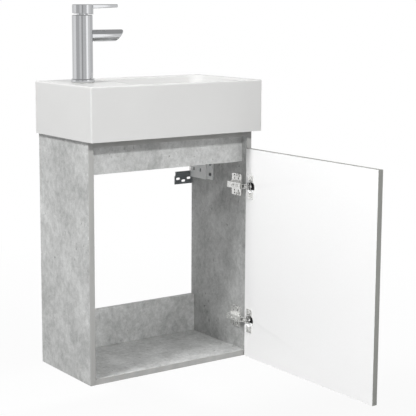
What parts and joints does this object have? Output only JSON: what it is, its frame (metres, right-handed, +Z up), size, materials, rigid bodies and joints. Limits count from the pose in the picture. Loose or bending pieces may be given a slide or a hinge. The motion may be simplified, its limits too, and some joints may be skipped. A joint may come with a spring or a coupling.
{
  "type": "wall-hung vanity unit",
  "caption": "Small wall-hung vanity unit: grey board cabinet with one side-hinged door on concealed hinges, white ceramic basin and a chrome lever tap on its side deck.",
  "frame": {"origin": "on the wall plane, midway between the two wall plates at the height of their upper slots", "axes": "+X to the right seen from the front, +Y towards the wall, +Z up"},
  "size_m": [0.4, 0.5825, 0.728],
  "materials": {
    "board": "matte laminate with a concrete look",
    "door": "matte laminate, white inside",
    "dowel_wood": "bare beech",
    "zinc": "zinc plated",
    "ceramic": "gloss glaze",
    "chrome": "polished",
    "spray_plastic": "moulded",
    "cartridge_plastic": "moulded",
    "brass": "turned",
    "rubber": "soft",
    "steel": "zinc plated",
    "hinge_nickel": "nickel plated",
    "hanger_plastic": "moulded",
    "wall_plate_steel": "dark zinc"
  },
  "bodies": {
    "cabinet": {"left_side_panel": "board", "right_side_panel": "board", "bottom_panel": "board", "top_stretcher": "board", "front_rail": "board", "rear_top_rail": "board", "rear_bottom_rail": "board", "wooden_dowels": "dowel_wood", "cam_bolts": "zinc", "cam_locks": "zinc", "basin": "ceramic", "tap_base_ring": "chrome", "tap_body": "chrome", "waste_body": "chrome", "aerator": "spray_plastic", "cartridge": "cartridge_plastic", "cartridge_nut": "brass", "tap_stud_nut": "brass", "waste_nut": "brass", "tap_gasket": "rubber", "tap_clamp_pad": "rubber", "waste_washer": "rubber", "tap_stud": "steel", "tap_clamp_plate": "steel", "upper_hinge_arm": "hinge_nickel", "upper_hinge_plate": "hinge_nickel", "upper_arm_pins": "hinge_nickel", "upper_arm_screws": "hinge_nickel", "upper_plate_screws": "hinge_nickel", "lower_hinge_arm": "hinge_nickel", "lower_hinge_plate": "hinge_nickel", "lower_arm_pins": "hinge_nickel", "lower_arm_screws": "hinge_nickel", "lower_plate_screws": "hinge_nickel", "left_hanger_housing": "hanger_plastic", "left_hanger_hook": "steel", "left_hanger_screws": "steel", "left_wall_plate": "wall_plate_steel", "right_hanger_housing": "hanger_plastic", "right_hanger_hook": "steel", "right_hanger_screws": "steel", "right_wall_plate": "wall_plate_steel"},
    "long_links": {"upper_long_link": "hinge_nickel", "lower_long_link": "hinge_nickel"},
    "door": {"door_panel": "door", "upper_hinge_cup": "hinge_nickel", "upper_cup_pins": "hinge_nickel", "upper_cup_screws": "hinge_nickel", "lower_hinge_cup": "hinge_nickel", "lower_cup_pins": "hinge_nickel", "lower_cup_screws": "hinge_nickel"},
    "short_links": {"upper_short_link": "hinge_nickel", "lower_short_link": "hinge_nickel"},
    "tap_spindle": {"lever_carrier": "brass"},
    "tap_lever": {"lever_cap": "chrome", "lever": "chrome", "lever_pin": "steel"},
    "plug": {"waste_plug": "chrome"}
  },
  "joints": [
    {"name": "long_link_swing", "type": "hinge", "parent": "cabinet", "child": "long_links", "pos_m": [0.17039, -0.18833, 0.006], "axis": [0, 0, 1], "range_deg": [-0.5, 21.5]},
    {"name": "door_swing", "type": "hinge", "parent": "long_links", "child": "door", "pos_m": [0.1795, -0.2054, 0.006], "axis": [0, 0, 1], "range_deg": [-111.4, 2.48]},
    {"name": "short_link_swing", "type": "hinge", "parent": "cabinet", "child": "short_links", "pos_m": [0.17551, -0.19792, 0.006], "axis": [0, 0, 1], "range_deg": [-0.2, 6.1]},
    {"name": "tap_swivel", "type": "hinge", "parent": "cabinet", "child": "tap_spindle", "pos_m": [-0.15, -0.104, 0.355], "axis": [0, 0, 1], "range_deg": [-45, 45]},
    {"name": "lever_lift", "type": "hinge", "parent": "tap_spindle", "child": "tap_lever", "pos_m": [-0.159, -0.104, 0.367], "axis": [0, -1, 0], "range_deg": [0, 20]},
    {"name": "plug_slide", "type": "slide", "parent": "cabinet", "child": "plug", "axis": [0, 0, 1], "range_m": [0, 0.007]}
  ],
  "couplings": [
    {"joint": "long_link_swing", "follows": "door_swing", "ratio": -0.1921},
    {"joint": "short_link_swing", "follows": "door_swing", "ratio": -0.05386}
  ]
}
